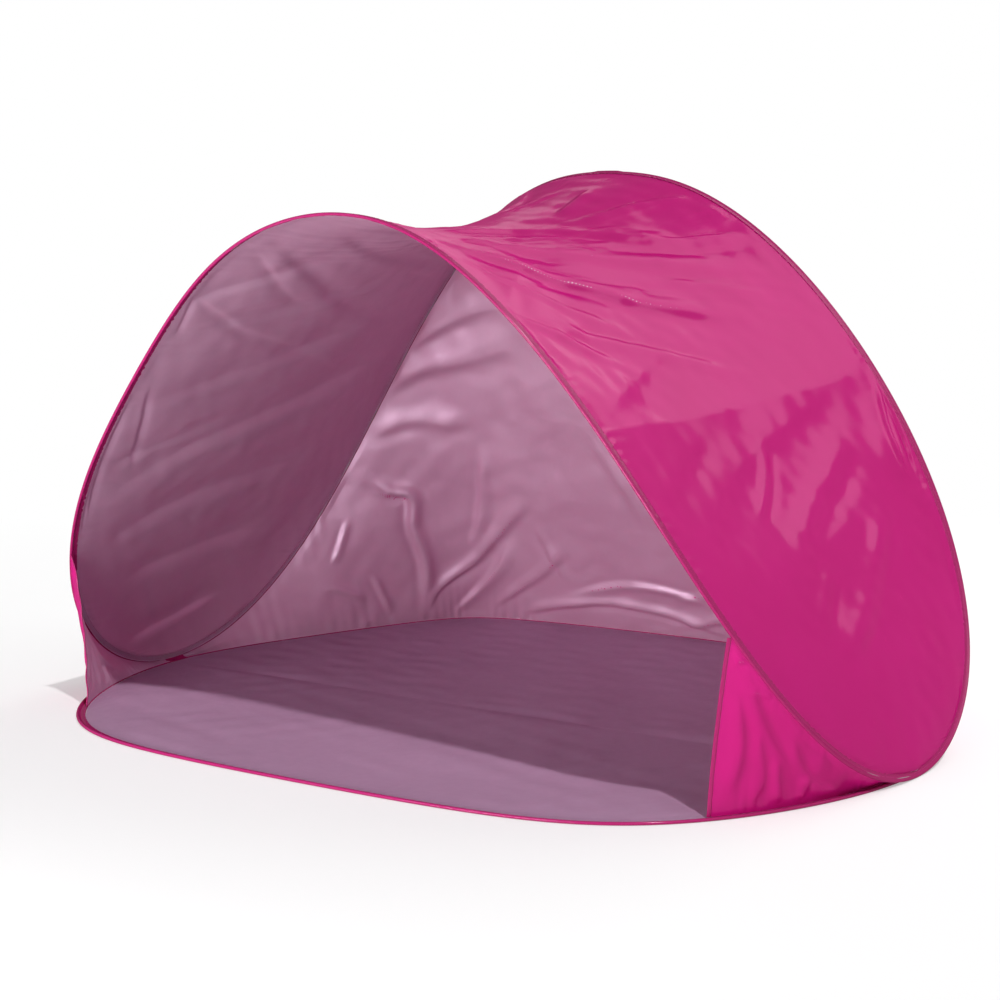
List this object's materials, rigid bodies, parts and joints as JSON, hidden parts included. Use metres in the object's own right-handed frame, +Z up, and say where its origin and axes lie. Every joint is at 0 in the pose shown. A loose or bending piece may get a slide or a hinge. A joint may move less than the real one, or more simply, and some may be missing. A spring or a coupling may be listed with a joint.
{
  "type": "pop-up beach tent",
  "caption": "Pop-up beach shelter: sprung wire hoops carry a saddle canopy, a back wall, side gussets and a floor, open at the front, and fold back on themselves.",
  "frame": {"origin": "on the ground, in the middle of the ground hoop", "axes": "+Z up, -Y out of the open front, +X to the viewer's right when looking in from the front"},
  "size_m": [1.5194, 1.2964, 0.9159],
  "materials": {
    "outer_cloth": "satin",
    "sleeve_cloth": "satin",
    "floor_cloth": "matte",
    "spring_steel": "satin",
    "ferrule_steel": "satin"
  },
  "bodies": {
    "rear_frame": {"ground_wire_rear": "spring_steel", "ground_ferrule": "ferrule_steel", "ground_sleeve_rear": "sleeve_cloth", "floor_rear": "floor_cloth", "canopy_wire_rear": "spring_steel", "canopy_ferrule": "ferrule_steel", "canopy_sleeve_rear": "sleeve_cloth", "back_wall": "outer_cloth", "canopy": "outer_cloth"},
    "front_arch": {"canopy_wire_front": "spring_steel", "canopy_sleeve_front": "sleeve_cloth", "gusset_left": "outer_cloth", "gusset_right": "outer_cloth", "gusset_binding_left": "sleeve_cloth", "gusset_binding_right": "sleeve_cloth"},
    "front_base": {"ground_wire_front": "spring_steel", "ground_sleeve_front": "sleeve_cloth", "floor_front": "floor_cloth"}
  },
  "joints": [
    {"name": "arch_fold", "type": "hinge", "parent": "rear_frame", "child": "front_arch", "pos_m": [0, -0.1006, 0.0052], "axis": [-1, 0, 0], "range_deg": [0, 44], "stiffness_Nm_per_rad": 3, "springref_deg": -34.38, "deforming": ["canopy"]},
    {"name": "base_fold", "type": "hinge", "parent": "front_arch", "child": "front_base", "pos_m": [0, -0.1006, 0.0052], "axis": [-1, 0, 0], "range_deg": [0, 32], "stiffness_Nm_per_rad": 1, "springref_deg": -34.38, "deforming": ["gusset_left", "gusset_right", "gusset_binding_left", "gusset_binding_right"]}
  ]
}
